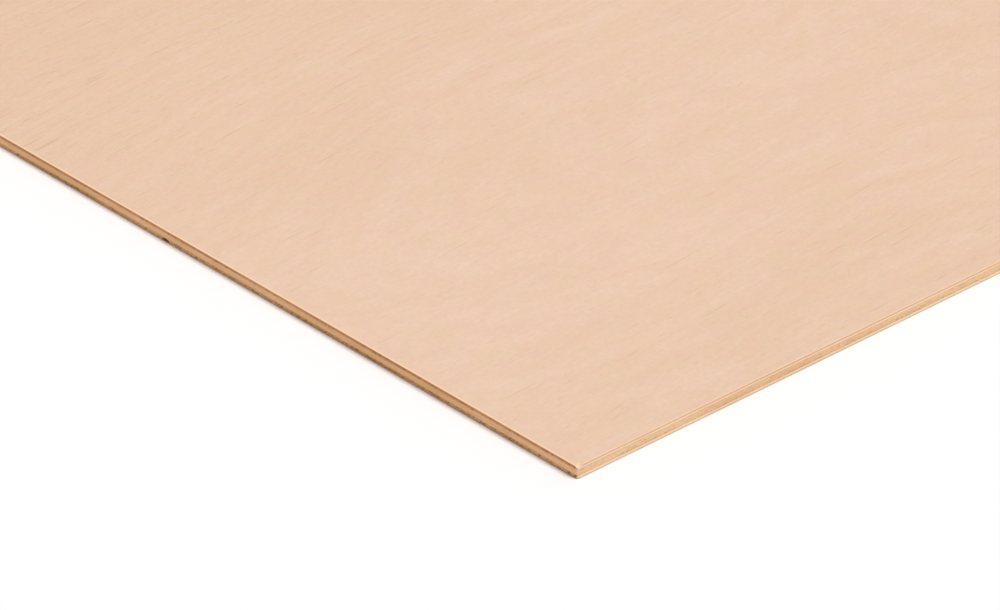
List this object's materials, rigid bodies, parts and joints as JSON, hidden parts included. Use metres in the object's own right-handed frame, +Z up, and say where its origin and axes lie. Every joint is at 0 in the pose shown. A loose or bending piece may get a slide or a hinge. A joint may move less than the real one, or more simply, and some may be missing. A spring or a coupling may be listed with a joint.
{
  "type": "plywood sheet",
  "caption": "Flat rectangular sheet of thin pale plywood with square sawn edges that show its glued crossing veneers, for lining, backing and panel work.",
  "frame": {"origin": "middle of the underside of the back veneer, on the floor that the sheet lies on", "axes": "+X along the sheet's length and the grain of its face, +Y across its width, +Z up out of the face veneer"},
  "size_m": [1.2, 0.6, 0.004],
  "materials": {
    "face_veneer": "sanded, unsealed, grain along the length",
    "core_veneer": "sawn edge, grain across the sheet",
    "back_veneer": "sanded, unsealed, grain along the length"
  },
  "bodies": {
    "root": {"face_veneer": "face_veneer", "core_veneer": "core_veneer", "back_veneer": "back_veneer"}
  },
  "joints": []
}
